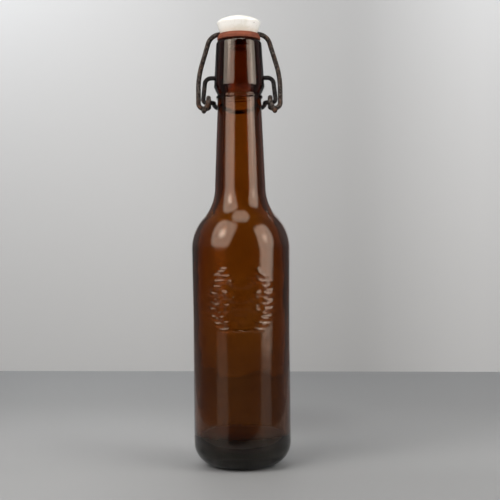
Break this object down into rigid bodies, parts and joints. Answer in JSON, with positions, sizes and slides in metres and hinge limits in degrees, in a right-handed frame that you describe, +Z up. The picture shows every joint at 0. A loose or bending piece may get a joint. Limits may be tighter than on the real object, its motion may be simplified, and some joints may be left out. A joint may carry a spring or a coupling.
{
  "type": "swing top bottle",
  "caption": "Amber glass swing top bottle with long neck, porcelain stopper, rubber seal and a two-piece wire closure that clamps and opens.",
  "frame": {"origin": "centre of the base, on the surface that the bottle stands on", "axes": "+Z up along the bottle, -Y towards the viewer, +X to the right along the closure's hinges; the handle lies behind the neck at +Y"},
  "size_m": [0.062, 0.062, 0.2838],
  "materials": {
    "amber_glass": "gloss",
    "porcelain": "gloss",
    "seal_rubber": "matte",
    "bail_steel": "rusted",
    "lever_steel": "rusted"
  },
  "bodies": {
    "bottle": {"glass_bottle": "amber_glass"},
    "lever": {"lever_wire": "lever_steel"},
    "bail": {"head_bail": "bail_steel"},
    "stopper": {"porcelain_stopper": "porcelain", "rubber_seal": "seal_rubber"}
  },
  "joints": [
    {"name": "lever_swing", "type": "hinge", "parent": "bottle", "child": "lever", "pos_m": [0, 0, 0.2445], "axis": [1, 0, 0], "range_deg": [0, 90]},
    {"name": "bail_swing", "type": "hinge", "parent": "lever", "child": "bail", "pos_m": [0, -0.00223, 0.2286], "axis": [1, 0, 0], "range_deg": [-61.5, 0]},
    {"name": "stopper_tilt", "type": "hinge", "parent": "bail", "child": "stopper", "pos_m": [0, 0, 0.2722], "axis": [1, 0, 0], "range_deg": [-29.5, 0]}
  ],
  "couplings": [
    {"joint": "bail_swing", "follows": "lever_swing", "ratio": -0.675},
    {"joint": "stopper_tilt", "follows": "lever_swing", "ratio": -0.325}
  ]
}
